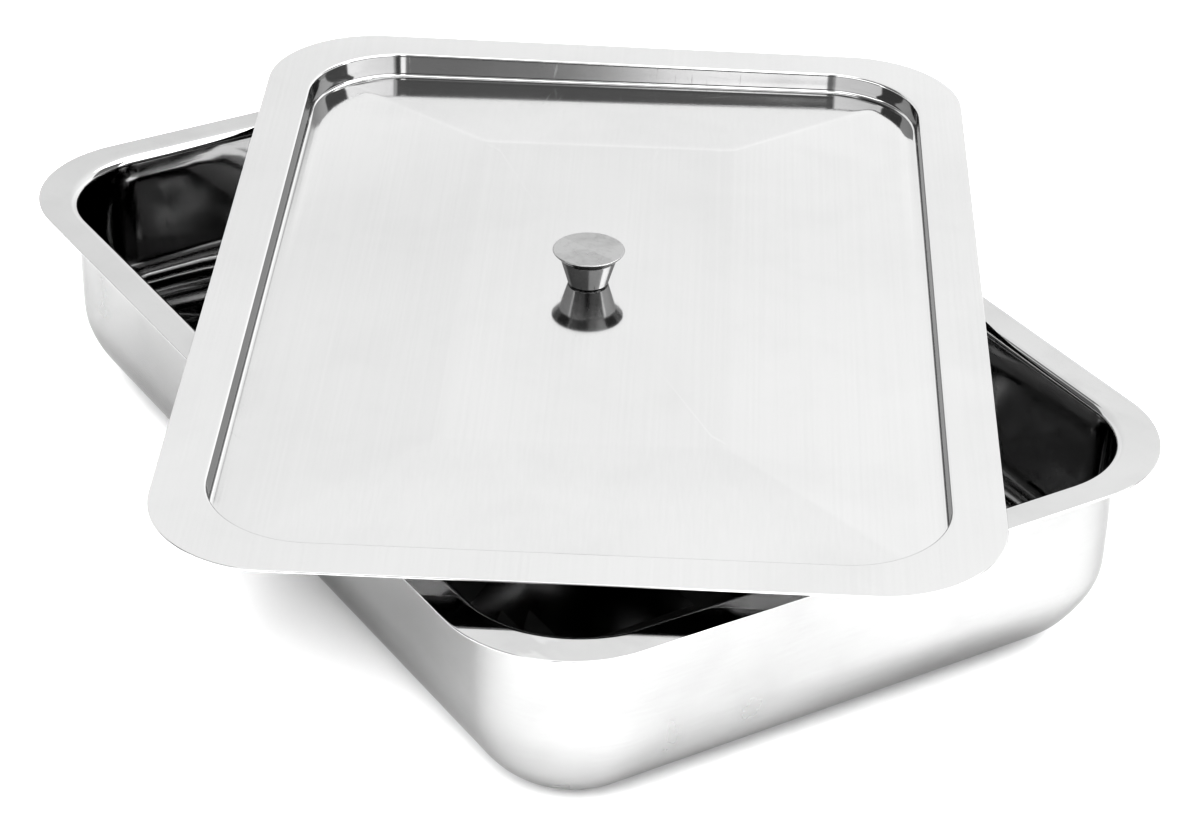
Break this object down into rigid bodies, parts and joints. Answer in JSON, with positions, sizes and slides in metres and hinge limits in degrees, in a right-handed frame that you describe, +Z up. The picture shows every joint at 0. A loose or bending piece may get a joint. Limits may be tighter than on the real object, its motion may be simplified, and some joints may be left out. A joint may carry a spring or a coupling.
{
  "type": "instrument tray",
  "caption": "Rectangular stainless steel instrument tray: a deep-drawn pan with a flat rim, and a loose lid with a recessed panel and a turned knob, lying askew on it.",
  "frame": {"origin": "centre of the pan's flat base, on the surface it stands on", "axes": "+X along the pan's long side, +Z up"},
  "size_m": [0.3744, 0.3468, 0.0826],
  "materials": {
    "pan_steel": "polished",
    "lid_steel": "polished",
    "knob_steel": "satin",
    "fastener_steel": "satin"
  },
  "bodies": {
    "tray": {"tray_pan": "pan_steel"},
    "knob": {"lid_knob": "knob_steel", "flat_washer": "fastener_steel", "lock_washer": "fastener_steel", "knob_screw": "fastener_steel"},
    "lid": {"lid_panel": "lid_steel"}
  },
  "joints": [
    {"name": "lid_lift", "type": "slide", "parent": "tray", "child": "knob", "axis": [0, 0, 1], "range_m": [0, 0.15]},
    {"name": "lid_turn", "type": "hinge", "parent": "knob", "child": "lid", "pos_m": [-0.00051, 0.00689, 0.0711], "axis": [0, 0, 1], "continuous": true}
  ]
}
